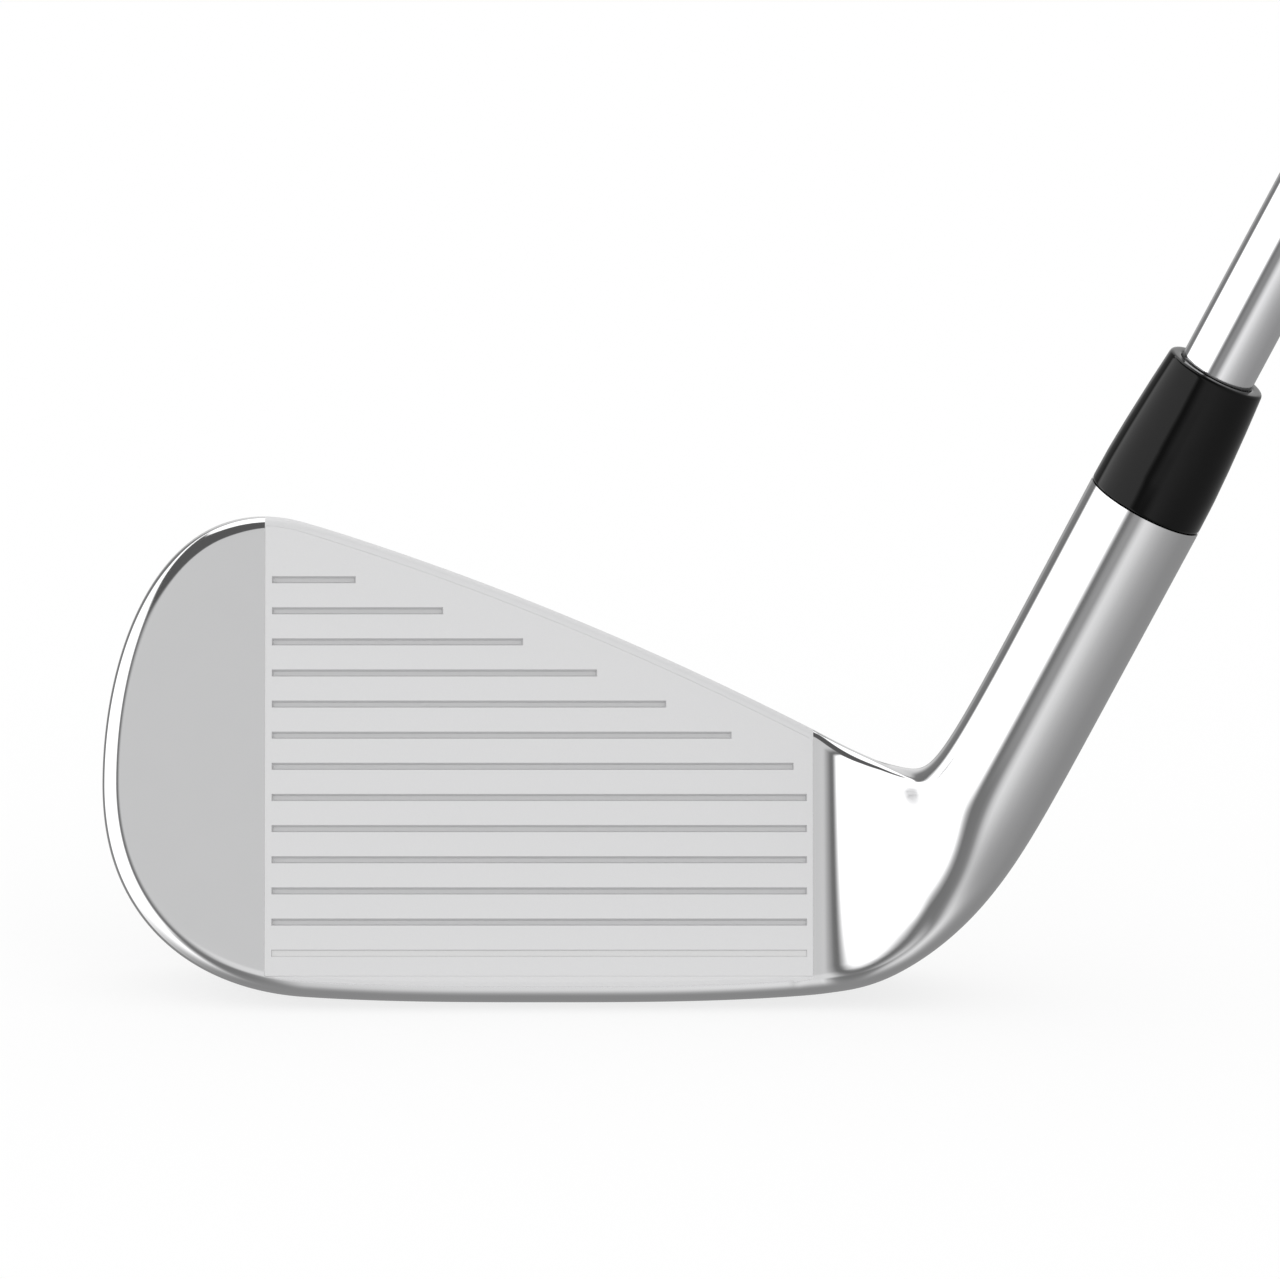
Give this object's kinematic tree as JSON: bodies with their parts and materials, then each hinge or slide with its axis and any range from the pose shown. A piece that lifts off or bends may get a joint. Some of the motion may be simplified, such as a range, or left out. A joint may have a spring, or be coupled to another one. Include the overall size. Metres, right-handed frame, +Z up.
{
  "type": "iron golf club",
  "caption": "Right-handed cavity-back mid iron: lofted chrome blade with scored face, angled hosel, black ferrule, stepped tubular shaft and tapered rubber grip.",
  "frame": {"origin": "where the sole touches the ground below the middle of the face, club standing at address", "axes": "+X from toe to heel, -Y is the way the face looks (towards the target side), +Z up; the shaft rises in the XZ plane at the lie angle"},
  "size_m": [0.5388, 0.0394, 0.8521],
  "materials": {
    "head_chrome": "polished chrome plate over steel, satin inside the toe",
    "face_steel": "fine blasted chrome, matt and pale grey",
    "white_paint": "white paint fill",
    "tungsten": "dark grey tungsten alloy, fine machined",
    "pad_rubber": "black elastomer",
    "badge_aluminium": "grey anodised, brushed along the blade",
    "epoxy": "cured shafting epoxy",
    "brass": "turned brass",
    "ferrule_black": "polished black plastic",
    "shaft_chrome": "polished chrome-plated steel tube",
    "band_film": "plain printed film, no text",
    "tape": "masking-type grip tape",
    "grip_rubber": "moulded textured black rubber",
    "cap_rubber": "smooth harder black rubber"
  },
  "bodies": {
    "root": {"head_body": "head_chrome", "face_plate": "face_steel", "score_line_paint": "white_paint", "toe_weight": "tungsten", "badge_pad": "pad_rubber", "cavity_badge": "badge_aluminium", "hosel_epoxy": "epoxy", "tip_weight": "brass", "ferrule": "ferrule_black", "shaft": "shaft_chrome", "shaft_band": "band_film", "grip_tape": "tape", "grip": "grip_rubber", "grip_cap": "cap_rubber"}
  },
  "joints": []
}
